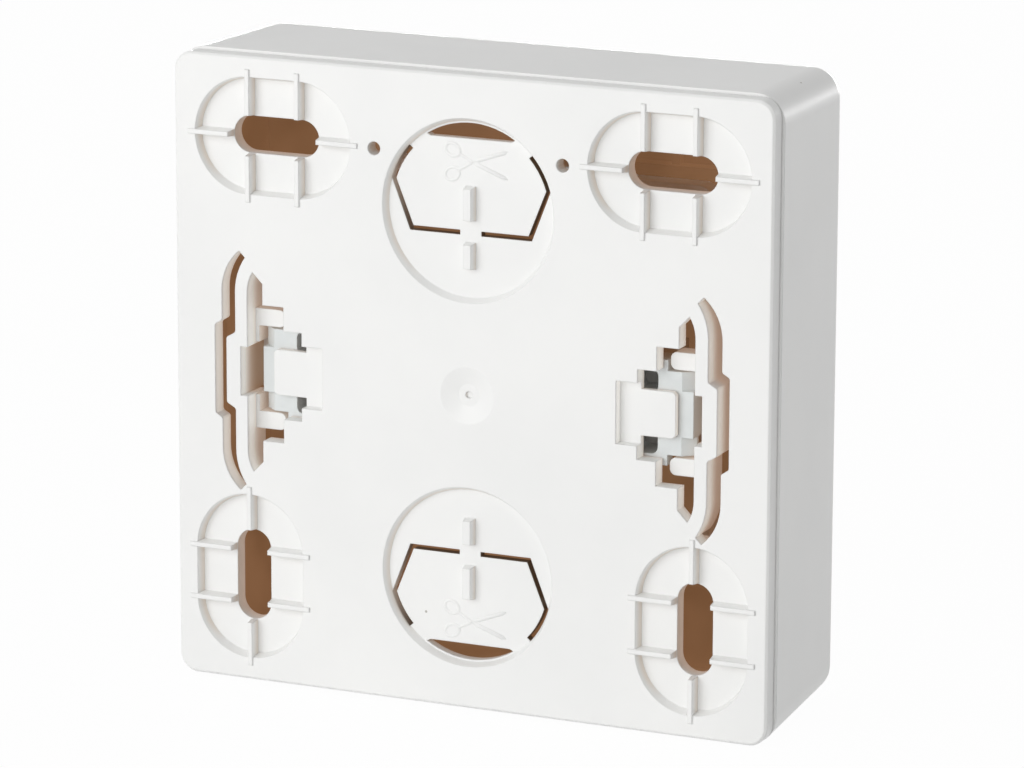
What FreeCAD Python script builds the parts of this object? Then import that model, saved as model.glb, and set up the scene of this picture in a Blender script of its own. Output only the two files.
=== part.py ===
import FreeCAD, Part
import os
import re
import Sketcher

# Surface mounted two-port socket on an 80 mm base plate. Sizes are in mm.
# X runs along the wall, Z up, and depths count from the wall plane into the room, along -Y.
dimensions = {
    # base plate
    "plate_side": 80, "plate_corner": 2.4, "plate_edge": 0.3, "plate_thick": 2.2, "rib_proud": 0.2,
    "skirt_height": 5, "skirt_wall": 1.5, "skirt_gap": 0.3, "skirt_corner": 2,
    "snap_length": 24, "snap_proud": 0.6, "snap_width": 1.2, "snap_lead": 2.6, "snap_play": 0.2,
    # screw slots, their recesses and the ribs in them
    "screw_line": 30, "slot_reach": 26.5, "slot_length": 11.7, "slot_width": 4.7,
    "recess_length": 21.35, "recess_width": 14.8, "recess_depth": 1.3, "recess_floor": 2,
    "recess_draft": 15, "pan_wall": 0.8,
    "rib_width": 0.9, "rib_spread": 3.4, "rib_short": 0.05, "rib_past": 1.1, "rib_draft": 6,
    # cable knock-outs
    "knock_line": 23.15, "knock_radius": 11.5, "knock_depth": 1, "knock_draft": 26,
    "knock_slot": 0.6, "knock_web": 1.42, "knock_low": 2.6, "knock_shoulder": 7.86,
    "knock_hip_across": 10.02, "knock_hip_up": 3.15, "knock_arc": 11.15,
    "knock_end_across": 7.75, "knock_end_up": 7.05, "knock_end_lean": 0.1,
    "segment_low": 8.8, "segment_half": 5.38, "segment_chamfer": 0.5, "segment_arc": 10.8,
    "bar_width": 1.4, "bar_draft": 9, "bar_high": 26.1, "bar_high_end": 21.8,
    "bar_low": 19.1, "bar_low_end": 15.75,
    "pilot_reach": 12.6, "pilot_line": 29.9, "pilot_radius": 0.85,
    "dimple_radius": 3.6, "dimple_floor": 1.4, "dimple_depth": 0.55,
    "gate_radius": 0.45, "gate_depth": 0.3,
    # latch windows: cut-outs, sprung bows, fingers and tabs
    "outer_edge": 33.65, "outer_bulge": 34.65, "outer_bulge_low": 5.7, "outer_bulge_high": 6.3,
    "bend_start": 10, "outer_end_across": 31.2, "outer_end_up": 15.37, "outer_bend": 6.85,
    "bow_edge": 31.8, "bow_bulge": 33.05, "bow_bulge_low": 4.2, "bow_bulge_high": 4.9,
    "bow_end_across": 30.4, "bow_end_up": 14.55, "bow_bend": 7.8, "bulge_round": 0.45,
    "bow_inside": 30.15, "bow_hollow": 31.1, "bow_hollow_half": 3.15, "bow_inner_bend": 5,
    "bow_step": 0.5, "bow_join": 0.4, "ledge_start": 3.4, "apex_across": 29.35, "apex_up": 12.8,
    "bow_depth": 5,
    "step_one": 28, "step_one_high": 11.4, "step_one_low": 8.7,
    "step_two": 25.1, "step_two_low": 5.65, "step_three": 22.6,
    "hollow_start": 19.8, "hollow_half": 3.95,
    "tab_end": 27.1, "tab_half": 2.9, "tab_sink": 1.35, "tab_edge": 0.4,
    "finger_tip": 26, "finger_low": 5.5, "finger_high": 7.7, "finger_sink": 2.4, "finger_round": 0.8,
    "nose_tip": 28.3, "nose_thick": 1.4, "nose_gap": 0.2,
    # hood, which leans in a little towards its front
    "hood_side": 80.8, "hood_corner": 3.7, "hood_wall": 2, "hood_seam": 0.1, "hood_edge": 2.5,
    "hood_front": 24.7, "hood_front_wall": 2.2, "hood_lean_side": 0.8, "hood_lean_top": 0.3,
    "hood_lean_low": 1.2, "hood_inside_draft": 1,
    "collar_wall": 1.5, "collar_height": 2.5,
    "hood_rib_reach": 18.8, "hood_rib_width": 1, "hood_rib_height": 1.5, "hood_rib_bite": 0.5,
    # centre plate
    "centre_side": 50, "centre_corner": 2, "centre_gap": 0.3, "centre_front": 25.7, "centre_edge": 0.8,
    "centre_wall": 3.4, "centre_skirt": 1.6, "centre_back": 18.2,
    "port_pitch": 25, "port_height": -2, "port_wide": 12.6, "port_tall": 9.4,
    "flap_wide": 16.4, "flap_tall": 13.2, "flap_thick": 1.8, "flap_sink": 0.1, "flap_gap": 0.3,
    "flap_behind": 0.2, "flap_above": 2.4, "pin_radius": 0.6, "pin_length": 0.9, "pin_play": 0.05,
    "pin_end_play": 0.2, "nail_wide": 6, "nail_tall": 1.6, "nail_deep": 1.3,
    "tie_height": 12,
    # carrier, its arms and posts
    "carrier_half_wide": 22, "carrier_half_tall": 17.5, "carrier_thick": 1.8, "arm_clear": 0.15,
    "carrier_corner": 2, "carrier_wall": 1.4, "carrier_rim": 4.6,
    "arm_end": 29.04, "arm_half": 5.25, "arm_slope": 27.5, "block_half": 2.9, "arm_chamfer": 1.3,
    "strip_half": 5.9, "column_start": 24.55, "column_end": 25.65, "column_half": 6.6,
    "lip_start": 27.9, "lip_end": 6.55,
    "eye_start": 20.8, "eye_end": 24.4, "eye_low": 2.4, "eye_high": 5.3, "eye_round": 0.9,
    "eye_deep": 4.6,
    "post_half": 2.1, "post_across": 18.4, "post_up": 13.9,
    "boss_radius": 3, "boss_gap": 0.2, "screw_radius": 1.4, "thread_play": 0.05,
    # circuit board and what stands on it
    "board_depth": 6.1, "board_thick": 1.6, "board_half_wide": 20.4, "board_half_tall": 15.9,
    "board_gap": 0.3,
    "jack_wide": 15.2, "jack_tall": 12.8, "jack_clear": 0.2, "jack_floor": 1.6,
    "cavity_wide": 11.8, "cavity_tall": 7.6, "cavity_up": 0.7, "key_wide": 6.2, "key_tall": 1.7,
    "shield_thick": 0.3, "shield_back": 2, "wire_count": 8, "wire_pitch": 1.27, "wire_thick": 0.4,
    "wire_drop": 1.6, "wire_rise": 0.3, "wire_lead": 0.5, "wire_bend": 4, "wire_heel": 3,
    "block_wide": 17, "block_tall": 8.2, "block_deep": 8.5, "block_lift": 10.4,
    "blade_count": 4, "blade_pitch": 3.9, "blade_slot": 1, "blade_slot_depth": 5, "blade_thick": 0.5,
    "blade_tall": 5.6, "blade_short": 1, "blade_fork": 1.2, "blade_fork_depth": 3,
    # cable saddle
    "saddle_gap": 0.125, "saddle_up": 26.8, "saddle_wide": 4.6, "saddle_tall": 5,
    "saddle_high": 5.4, "saddle_wall": 1.3, "peg_half": 0.7, "peg_length": 0.8,
    "peg_play": 0.05, "peg_spread": 1.4,
    # screws
    "head_radius": 2.9, "head_cone": 1.6, "head_land": 0.3, "drive_wide": 0.8, "drive_deep": 0.9,
    "screw_length": 9, "bore_past": 0.5, "small_head_radius": 1.9, "small_head_high": 1.2,
    "small_screw_radius": 1, "small_screw_length": 4.4, "small_drive_long": 2.4,
    "small_drive_wide": 0.5, "small_drive_deep": 0.5, "small_screw_sides": 16,
    # how far a cut or a joined form runs past a face
    "run_past": 1,
}

doc = FreeCAD.newDocument("surface_socket")
sheet = doc.addObject("Spreadsheet::Sheet", "sizes")
for row, (alias, amount) in enumerate(dimensions.items(), start=1):
    sheet.set(f"A{row}", alias)
    sheet.set(f"B{row}", str(amount))
    sheet.setAlias(f"B{row}", alias)
doc.recompute()


def bind(text):
    # puts the sheet's name before each size in a formula
    return re.sub(r"[a-z_]+", lambda word: "sizes." * (word[0] in dimensions) + word[0], str(text))


def value(text):
    return float(sheet.evalExpression(bind(text)))


def new_body(label):
    body = doc.addObject("PartDesign::Body", label)
    body.Label = label
    return body


def origin_plane(body, role):
    return next(plane for plane in body.Origin.OriginFeatures if plane.Role == role)


def new_sketch(body, name, depth="0", role="XZ_Plane"):
    sketch = body.newObject("Sketcher::SketchObject", name)
    sketch.AttachmentSupport = (origin_plane(body, role), [""])
    sketch.MapMode = "FlatFace"
    sketch.setExpression("AttachmentOffset.Base.z", bind(depth))
    return sketch


def tie(sketch, ties):
    # adds constraints together; each that has a formula is bound to the sheet
    first = sketch.ConstraintCount
    sketch.addConstraint([
        Sketcher.Constraint(kind, *places, *([value(text)] if text else [])) for kind, places, text in ties])
    for index, (kind, places, text) in enumerate(ties, start=first):
        if text:
            sketch.setExpression(f"Constraints[{index}]", bind(text))


def lock(edge, end, across, up):
    return [("DistanceX", (edge, end), across), ("DistanceY", (edge, end), up)]


def circle(sketch, across, up, radius):
    centre = FreeCAD.Vector(value(across), value(up), 0)
    edge = sketch.addGeometry(Part.Circle(centre, FreeCAD.Vector(0, 0, 1), value(radius)))
    tie(sketch, lock(edge, 3, across, up) + [("Radius", (edge,), radius)])


def outline(sketch, corners):
    # closed loop through the corners; a corner that also holds a radius and a turn starts an arc
    spots = [FreeCAD.Vector(value(corner[0]), value(corner[1]), 0) for corner in corners]
    ends = []
    for start, end, (across, up, *bend) in zip(spots, spots[1:] + spots[:1], corners):
        if not bend:
            ends.append((sketch.addGeometry(Part.LineSegment(start, end)), 1, 2))
            continue
        radius, turn = bend
        reach = end - start
        sag = value(radius) - max(value(radius) ** 2 - reach.Length ** 2 / 4, 0) ** 0.5
        right = FreeCAD.Vector(reach.y, -reach.x, 0).normalize()
        middle = (start + end) * 0.5 + right * (sag if turn == "left" else -sag)
        edge = sketch.addGeometry(Part.Arc(start, middle, end))
        ends.append((edge, 1, 2) if turn == "left" else (edge, 2, 1))
    ties = []
    for before, here, (across, up, *bend) in zip(ends[-1:] + ends[:-1], ends, corners):
        ties.append(("Coincident", (before[0], before[2], here[0], here[1]), None))
        ties += lock(here[0], here[1], across, up)
        if bend:
            ties.append(("Radius", (here[0],), bend[0]))
    tie(sketch, ties)


def rectangle(sketch, left, low, right, high):
    outline(sketch, [(left, low), (right, low), (right, high), (left, high)])


def square(sketch, across, up, half):
    rectangle(sketch, f"{across} - ({half})", f"{up} - ({half})", f"{across} + {half}", f"{up} + {half}")


def rounded(sketch, left, low, right, high, radius):
    # rectangle with round corners
    radius = f"({radius})"
    outline(sketch, [
        (f"{left} + {radius}", low), (f"{right} - {radius}", low, radius, "left"),
        (right, f"{low} + {radius}"), (right, f"{high} - {radius}", radius, "left"),
        (f"{right} - {radius}", high), (f"{left} + {radius}", high, radius, "left"),
        (left, f"{high} - {radius}"), (left, f"{low} + {radius}", radius, "left"),
    ])


def rounded_square(sketch, half, radius):
    rounded(sketch, f"-({half})", f"-({half})", half, half, radius)


def obround(sketch, across, up, length, width, upright):
    # slot shape, lying or upright; its ends are half circles that meet the flats without a kink
    ahead = f"({length} - ({width})) / 2"
    out = f"({width}) / 2"
    if upright:
        corners = [
            (f"{across} + {out}", f"{up} - {ahead}"), (f"{across} + {out}", f"{up} + {ahead}"),
            (f"{across} - {out}", f"{up} + {ahead}"), (f"{across} - {out}", f"{up} - {ahead}"),
        ]
    else:
        corners = [
            (f"{across} - {ahead}", f"{up} - {out}"), (f"{across} + {ahead}", f"{up} - {out}"),
            (f"{across} + {ahead}", f"{up} + {out}"), (f"{across} - {ahead}", f"{up} + {out}"),
        ]
    spots = [FreeCAD.Vector(value(one), value(two), 0) for one, two in corners]
    flats = [sketch.addGeometry(Part.LineSegment(spots[0], spots[1])),
             sketch.addGeometry(Part.LineSegment(spots[2], spots[3]))]
    ends = []
    for start, end in ((spots[1], spots[2]), (spots[3], spots[0])):
        reach = end - start
        bulge = FreeCAD.Vector(reach.y, -reach.x, 0) * 0.5
        ends.append(sketch.addGeometry(Part.Arc(start, (start + end) * 0.5 + bulge, end)))
    loop = (flats[0], ends[0], flats[1], ends[1])
    ties = [("Tangent", (first, 2, second, 1), None) for first, second in zip(loop, loop[1:] + loop[:1])]
    ties += lock(flats[0], 1, *corners[0]) + lock(flats[0], 2, *corners[1])
    tie(sketch, ties + [("Radius", (ends[0],), out)])


def feature(body, kind, profile, name, length, taper, both):
    made = body.newObject(f"PartDesign::{kind}", name)
    made.Profile = profile
    if length:
        made.setExpression("Length", bind(length))
    else:
        made.Type = "ThroughAll"
    if taper:
        made.setExpression("TaperAngle", bind(taper))
    made.Midplane = both
    made.Refine = False
    profile.Visibility = False
    return made


def pad(body, profile, name, length, taper=None, to_wall=False, both=False):
    # grows into the room, back to the wall, or half to each side of the sketch
    made = feature(body, "Pad", profile, name, length, taper, both)
    made.Reversed = to_wall
    return made


def cut(body, profile, name, length=None, taper=None, to_wall=False, both=False):
    # cuts as a pad grows, to a depth or right through
    made = feature(body, "Pocket", profile, name, length, taper, both)
    made.Reversed = not to_wall
    return made


def mirror(body, name, features, role):
    made = body.newObject("PartDesign::Mirrored", name)
    made.Originals = features
    made.MirrorPlane = (origin_plane(body, role), [""])
    made.Refine = False
    body.Tip = made
    return made


def pick_edges(body, wanted):
    # names of the body's edges that a test on their two ends accepts
    doc.recompute()
    names = []
    for index, edge in enumerate(body.Shape.Edges, start=1):
        if wanted(edge.valueAt(edge.FirstParameter), edge.valueAt(edge.LastParameter)):
            names.append(f"Edge{index}")
    return names


def upright_at(spots):
    # test for edges that run along Y through the given points
    places = [(value(across), value(up)) for across, up in spots]

    def wanted(start, end):
        if abs(start.x - end.x) + abs(start.z - end.z) > 0.001 or abs(start.y - end.y) < 0.001:
            return False
        return any(abs(start.x - across) + abs(start.z - up) < 0.01 for across, up in places)
    return wanted


def rim_at(depth):
    # test for the edges that lie at one depth
    level = -value(depth)
    return lambda start, end: abs(start.y - level) < 0.001 and abs(end.y - level) < 0.001


def lengthways(least):
    # test for edges that run at least so far from the wall
    return lambda start, end: abs(start.y - end.y) > value(least)


def dress(body, kind, name, wanted, size):
    names = pick_edges(body, wanted)
    base = body.Tip
    made = body.newObject(f"PartDesign::{kind}", name)
    made.Base = (base, names)
    made.setExpression("Radius" if kind == "Fillet" else "Size", bind(size))
    made.Refine = False
    return made


def turned(body, kind, name, profile, axis="V_Axis"):
    made = body.newObject(f"PartDesign::{kind}", name)
    made.Profile = profile
    made.ReferenceAxis = (profile, [axis])
    made.Angle = 360
    profile.Visibility = False
    return made


def base_plate():
    body = new_body("base_plate")
    inner = "rib_proud + plate_thick"
    face = new_sketch(body, "plate_face", "rib_proud")
    rounded_square(face, "plate_side / 2", "plate_corner")
    pad(body, face, "plate", "plate_thick")
    dress(body, "Chamfer", "plate_rim", rim_at("rib_proud"), "plate_edge")

    skirt = new_sketch(body, "skirt_ring", inner)
    outside = "hood_side / 2 - hood_wall - skirt_gap"
    rounded_square(skirt, outside, "skirt_corner")
    rounded_square(skirt, f"{outside} - skirt_wall", "skirt_corner / 2")
    pad(body, skirt, "skirt", "skirt_height")
    ridges = new_sketch(body, "snap_strips", f"{inner} + snap_lead")
    for sign in ("", "-"):
        low, high = f"{sign}({outside} - skirt_wall / 2)", f"{sign}({outside} + snap_proud)"
        rectangle(ridges, "-snap_length / 2", low, "snap_length / 2", high)
    pad(body, ridges, "snap_ridges", "snap_width")

    pilots = new_sketch(body, "pilot_circles")
    for sign in ("", "-"):
        circle(pilots, f"{sign}pilot_reach", "pilot_line", "pilot_radius")
    cut(body, pilots, "pilot_holes")
    pegs = new_sketch(body, "peg_hole_outlines", inner)
    for sign in ("+", "-"):
        square(pegs, f"{saddle_across} {sign} peg_spread", "saddle_up - peg_spread", "peg_half + peg_play")
    cut(body, pegs, "peg_holes", "peg_length + peg_play", to_wall=True)

    dish = new_sketch(body, "dimple_section", role="XY_Plane")
    outline(dish, [
        ("0", "-rib_proud - dimple_depth"), ("dimple_floor", "-rib_proud - dimple_depth"),
        ("dimple_radius", "-rib_proud"), ("0", "-rib_proud"),
    ])
    turned(body, "Groove", "dimple", dish)
    gate = new_sketch(body, "gate_circle", "rib_proud + dimple_depth")
    circle(gate, "0", "0", "gate_radius")
    cut(body, gate, "gate_mark", "gate_depth")

    recess_pans(body, inner)
    latch_windows(body)
    knock_outs(body)
    screw_recesses(body)
    return body


# a lying slot at the top and an upright one at the bottom, on each side
slot_places = (("slot_reach", "screw_line", False), ("screw_line", "-slot_reach", True))


def recess_pans(body, inner):
    # the raised undersides of the four screw recesses
    pans = new_sketch(body, "pan_outlines", inner)
    length, width = "recess_length + 2 * pan_wall", "recess_width + 2 * pan_wall"
    for across, up, upright in slot_places:
        for side in ("", "-"):
            obround(pans, side + across, up, length, width, upright)
    pad(body, pans, "pans", "recess_depth + recess_floor - plate_thick")


def strip(sketch, across, up, along, aside, upright):
    # rectangle given by its reach along a slot and aside from it
    (left, right), (low, high) = (aside, along) if upright else (along, aside)
    rectangle(sketch, f"{across} + {left}", f"{up} + {low}", f"{across} + {right}", f"{up} + {high}")


def screw_recesses(body):
    hollows = new_sketch(body, "recess_outlines", "rib_proud")
    slots = new_sketch(body, "slot_outlines")
    ribs = new_sketch(body, "rib_outlines", "rib_proud + recess_depth")
    for across, up, upright in slot_places:
        obround(hollows, across, up, "recess_length", "recess_width", upright)
        obround(slots, across, up, "slot_length", "slot_width", upright)
        for side in ("", "-"):
            reach = (f"{side}(slot_length / 2 + rib_short)", f"{side}(recess_length / 2 + rib_past)")
            strip(ribs, across, up, reach, ("-rib_width / 2", "rib_width / 2"), upright)
            reach = (f"{side}(slot_width / 2 + rib_short)", f"{side}(recess_width / 2 + rib_past)")
            for spread in ("rib_spread", "-rib_spread"):
                width = (f"{spread} - rib_width / 2", f"{spread} + rib_width / 2")
                strip(ribs, across, up, width, reach, upright)
    made = [
        cut(body, hollows, "recesses", "recess_depth", "-recess_draft"),
        cut(body, slots, "screw_slots"),
        pad(body, ribs, "ribs", "rib_proud + recess_depth", "-rib_draft", to_wall=True),
    ]
    mirror(body, "recesses_mirrored", made, "YZ_Plane")


def knock_outs(body):
    disc = new_sketch(body, "knock_circle", "rib_proud")
    circle(disc, "0", "knock_line", "knock_radius")
    hollow = cut(body, disc, "knock_recess", "knock_depth", "-knock_draft")
    tears = new_sketch(body, "tear_outlines")
    for sign, turn, back in (("", "left", "right"), ("-", "right", "left")):
        outline(tears, [
            (f"{sign}knock_web", "knock_line - knock_low - knock_slot"),
            (f"{sign}(knock_shoulder + knock_slot / 2)", "knock_line - knock_low - knock_slot"),
            (f"{sign}(knock_hip_across + knock_slot)", "knock_line + knock_hip_up", "knock_arc", turn),
            (f"{sign}(knock_end_across + knock_slot - knock_end_lean)",
             "knock_line + knock_end_up + knock_slot - 2 * knock_end_lean"),
            (f"{sign}knock_end_across", "knock_line + knock_end_up", "knock_arc - knock_slot", back),
            (f"{sign}knock_hip_across", "knock_line + knock_hip_up"),
            (f"{sign}(knock_shoulder - knock_slot / 4)", "knock_line - knock_low"),
            (f"{sign}knock_web", "knock_line - knock_low"),
        ])
    wide = "segment_half + segment_chamfer"
    high = f"knock_line + sqrt(segment_arc ^ 2 - ({wide}) ^ 2)"
    outline(tears, [
        ("-segment_half", "knock_line + segment_low"), ("segment_half", "knock_line + segment_low"),
        (wide, high, "segment_arc", "left"), (f"-({wide})", high),
    ])
    slots = cut(body, tears, "tear_slots")
    strips = new_sketch(body, "bar_outlines", "rib_proud + knock_depth")
    for low, high in (("bar_high_end", "bar_high"), ("bar_low_end", "bar_low")):
        rectangle(strips, "-bar_width / 2", low, "bar_width / 2", high)
    bars = pad(body, strips, "bars", "rib_proud + knock_depth", "-bar_draft", to_wall=True)
    mirror(body, "knock_outs_mirrored", [hollow, slots, bars], "XY_Plane")


def bow_edge_outside(sign):
    # the bow's outer edge, from its end to the middle of one half
    return [
        ("bow_end_across", f"{sign}bow_end_up"), ("bow_edge", f"{sign}bend_start"),
        ("bow_edge", f"{sign}bow_bulge_high"), ("bow_bulge", f"{sign}bow_bulge_low"),
    ]


def with_arc(corners, index, radius, turn):
    # the same corners, with an arc from the one at this index to the next
    changed = list(corners)
    changed[index] = (*changed[index][:2], radius, turn)
    return changed


def latch_windows(body):
    # one window on +X, then its mirror image; each loop runs counter-clockwise from the top
    bow_down = bow_edge_outside("")
    bow_up = bow_edge_outside("-")[::-1]
    outer_slot = with_arc(bow_down, 0, "bow_bend", "right") + with_arc(bow_up, 2, "bow_bend", "right") + [
        ("outer_end_across", "-outer_end_up", "outer_bend", "left"), ("outer_edge", "-bend_start"),
        ("outer_edge", "-outer_bulge_high"), ("outer_bulge", "-outer_bulge_low"),
        ("outer_bulge", "outer_bulge_low"), ("outer_edge", "outer_bulge_high"),
        ("outer_edge", "bend_start", "outer_bend", "left"), ("outer_end_across", "outer_end_up"),
    ]
    inside_up = [
        ("apex_across", "-apex_up", "bow_inner_bend", "left"), ("bow_inside", "-bend_start"),
        ("bow_inside", "-bow_hollow_half"), ("bow_hollow", "-bow_hollow_half"),
        ("bow_hollow", "bow_hollow_half"), ("bow_inside", "bow_hollow_half"),
        ("bow_inside", "bend_start", "bow_inner_bend", "left"),
    ]
    stairs = [
        ("apex_across", "apex_up"), ("step_one", "step_one_high"), ("step_one", "step_one_low"),
        ("step_two", "step_one_low"), ("step_two", "step_two_low"), ("step_three", "step_two_low"),
    ]
    stairs += [(across, f"-{up}") for across, up in stairs[:0:-1]]
    windows = new_sketch(body, "window_outlines")
    outline(windows, outer_slot)
    outline(windows, inside_up + stairs)
    made = [cut(body, windows, "window_cuts")]
    made += sprung_bow(body, inside_up)
    made += latch_tab(body)
    mirror(body, "windows_mirrored", made, "YZ_Plane")
    bulges = [
        ("outer_edge", "outer_bulge_high"), ("outer_bulge", "outer_bulge_low"),
        ("bow_edge", "bow_bulge_high"), ("bow_bulge", "bow_bulge_low"),
    ]
    spots = [(side + across, level + up)
             for across, up in bulges for side in ("", "-") for level in ("", "-")]
    dress(body, "Fillet", "bulge_rounds", upright_at(spots), "bulge_round")


def sprung_bow(body, inside_up):
    strip_outline = new_sketch(body, "bow_outline", "rib_proud")
    bow_right = with_arc(bow_edge_outside("-"), 0, "bow_bend", "left")
    bow_left = with_arc(bow_edge_outside("")[::-1], 2, "bow_bend", "left")
    inside_down = [("apex_across", "apex_up", "bow_inner_bend", "right")] + [
        corner[:2] for corner in inside_up[:0:-1]]
    inside_down = with_arc(inside_down, len(inside_down) - 1, "bow_inner_bend", "right")
    outline(strip_outline, bow_right + bow_left + inside_down + [("apex_across", "-apex_up")])
    made = [pad(body, strip_outline, "bow", "bow_depth")]

    # a finger reaches inwards from each half, with a ledge on its inner side
    reach = new_sketch(body, "finger_outlines", "rib_proud + finger_sink")
    step, join = "bow_inside - bow_step", "bow_inside + bow_join"
    for sign, turn in (("", "left"), ("-", "right")):
        outline(reach, [
            (join, f"{sign}ledge_start"), (join, f"{sign}finger_high"),
            ("finger_tip + finger_round", f"{sign}finger_high", "finger_round", turn),
            ("finger_tip", f"{sign}(finger_high - finger_round)"),
            ("finger_tip", f"{sign}(finger_low + finger_round)", "finger_round", turn),
            ("finger_tip + finger_round", f"{sign}finger_low"),
            (step, f"{sign}finger_low"), (step, f"{sign}ledge_start"),
        ])
    made.append(pad(body, reach, "fingers", "bow_depth - finger_sink"))

    # the bow's middle runs on as a heel, whose nose lies under the lip of the carrier's arm
    start = "rib_proud + bow_depth / 2"
    nose = "lip_end + nose_gap"
    heel = new_sketch(body, "heel_outline", start)
    rectangle(heel, "bow_hollow", "-bow_hollow_half", "bow_bulge", "bow_hollow_half")
    made.append(pad(body, heel, "heel", f"{nose} + nose_thick - ({start})"))
    catch = new_sketch(body, "nose_outline", nose)
    rectangle(catch, "nose_tip", "-bow_hollow_half", "bow_hollow + bow_join", "bow_hollow_half")
    made.append(pad(body, catch, "nose", "nose_thick"))
    return made


def latch_tab(body):
    # the floor of a hollow in the plate runs on as a tab over the carrier's arm
    hollow = new_sketch(body, "tab_hollow_outline", "rib_proud")
    rectangle(hollow, "hollow_start", "-hollow_half", "step_three", "hollow_half")
    made = [cut(body, hollow, "tab_hollow", "tab_sink")]
    tab = new_sketch(body, "tab_outline", "rib_proud + tab_sink")
    outline(tab, [
        ("step_three - run_past", "-tab_half"), ("tab_end - tab_edge", "-tab_half"),
        ("tab_end", "tab_edge - tab_half"), ("tab_end", "tab_half - tab_edge"),
        ("tab_end - tab_edge", "tab_half"), ("step_three - run_past", "tab_half"),
    ])
    made.append(pad(body, tab, "tab", "plate_thick - tab_sink"))
    return made


def hood():
    body = new_body("hood")
    half = "hood_side / 2"
    rear = "rib_proud + plate_thick + hood_seam"
    floor = "hood_front - hood_front_wall"
    side_view = new_sketch(body, "hood_side_view", role="YZ_Plane")
    outline(side_view, [
        (f"-({rear})", f"-{half}"), (f"-({rear})", half),
        ("-hood_front", f"{half} - hood_lean_top"), ("-hood_front", f"hood_lean_low - {half}"),
    ])
    pad(body, side_view, "hood_block", "hood_side", both=True)
    wedges = new_sketch(body, "hood_wedges", role="XY_Plane")
    for side in ("", "-"):
        outline(wedges, [
            (side + half, f"-({rear})"), (f"{side}({half} + hood_lean_side)", "-hood_front"),
            (f"{side}({half} - hood_lean_side)", "-hood_front"),
        ])
    cut(body, wedges, "hood_leans", both=True)
    dress(body, "Fillet", "hood_corners", lengthways("hood_front / 2"), "hood_corner")
    dress(body, "Fillet", "hood_round", rim_at("hood_front"), "hood_edge")

    inside = new_sketch(body, "hood_inside", rear)
    square(inside, "0", "0", f"{half} - hood_wall")
    cut(body, inside, "hood_hollow", f"{floor} - ({rear})", "-hood_inside_draft")
    opening = "centre_side / 2 + centre_gap"
    mouth = new_sketch(body, "mouth_outline")
    rounded_square(mouth, opening, "centre_corner")
    cut(body, mouth, "mouth")
    collar = new_sketch(body, "collar_outline", f"{floor} - collar_height")
    square(collar, "0", "0", f"{opening} + collar_wall")
    rounded_square(collar, opening, "centre_corner")
    pad(body, collar, "collar", "collar_height")
    ribs = new_sketch(body, "hood_rib_outlines", f"{floor} - hood_rib_height")
    for side in ("", "-"):
        for level in ("", "-"):
            near = f"{level}({opening} + collar_wall / 2)"
            far = f"{level}({half} - hood_wall + hood_rib_bite)"
            rectangle(ribs, f"{side}hood_rib_reach - hood_rib_width / 2", near,
                      f"{side}hood_rib_reach + hood_rib_width / 2", far)
    pad(body, ribs, "hood_ribs", "hood_rib_height + hood_front_wall / 2")
    grooves = new_sketch(body, "snap_groove_outlines", "rib_proud + plate_thick + snap_lead - snap_play")
    inner_face = f"{half} - hood_wall - skirt_gap"
    for sign in ("", "-"):
        rectangle(grooves, "-snap_length / 2 - snap_play", f"{sign}({inner_face})",
                  "snap_length / 2 + snap_play", f"{sign}({inner_face} + snap_proud + snap_play)")
    cut(body, grooves, "snap_grooves", "snap_width + 2 * snap_play")
    return body


port_middle = "port_pitch / 2"
flap_axis_up = "port_height + port_tall / 2 + flap_above - flap_thick / 2"
flap_axis_depth = "centre_front - flap_sink - flap_thick / 2"
flap_low = f"{flap_axis_up} + flap_thick / 2 - flap_tall"


def centre_plate():
    body = new_body("centre_plate")
    half = "centre_side / 2"
    block = new_sketch(body, "centre_outline", "centre_back")
    rounded_square(block, half, "centre_corner")
    pad(body, block, "centre_block", "centre_front - centre_back")
    dress(body, "Chamfer", "centre_rim", rim_at("centre_front"), "centre_edge")
    hollow = new_sketch(body, "centre_hollow_outline", "centre_back")
    square(hollow, "0", "0", f"{half} - centre_skirt")
    cut(body, hollow, "centre_hollow", "centre_front - centre_back - centre_wall")

    beds = new_sketch(body, "flap_beds", "centre_front - flap_sink - flap_thick - flap_behind")
    ports = new_sketch(body, "port_outlines")
    nails = new_sketch(body, "nail_outlines", "centre_front - nail_deep")
    top = f"{flap_axis_up} + flap_thick / 2 + flap_gap"
    bottom = f"{flap_low} - flap_gap"
    for side in ("", "-"):
        middle = side + port_middle
        rectangle(beds, f"{middle} - flap_wide / 2 - flap_gap", bottom,
                  f"{middle} + flap_wide / 2 + flap_gap", top)
        rectangle(ports, f"{middle} - port_wide / 2", "port_height - port_tall / 2",
                  f"{middle} + port_wide / 2", "port_height + port_tall / 2")
        rectangle(nails, f"{middle} - nail_wide / 2", f"{bottom} - nail_tall",
                  f"{middle} + nail_wide / 2", flap_low)
    cut(body, beds, "flap_bed_cuts")
    cut(body, ports, "port_cuts")
    cut(body, nails, "nail_cuts")

    for side, name in (("", "right"), ("-", "left")):
        bore = new_sketch(body, f"pin_bore_{name}", side + port_middle, role="YZ_Plane")
        circle(bore, f"-({flap_axis_depth})", flap_axis_up, "pin_radius + pin_play")
        length = "flap_wide + 2 * flap_gap + 2 * pin_length + 2 * pin_end_play"
        cut(body, bore, f"pin_bores_{name}", length, both=True)
    seat = new_sketch(body, "screw_seat_section", role="XY_Plane", depth="tie_height")
    back, front = "run_past - (centre_front - centre_wall)", "-centre_front"
    outline(seat, [
        ("0", front), ("head_radius", front), ("head_radius", f"{front} + head_land"),
        ("screw_radius + thread_play", f"{front} + head_land + head_cone"),
        ("screw_radius + thread_play", back), ("0", back),
    ])
    turned(body, "Groove", "screw_seat", seat)
    return body


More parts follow.
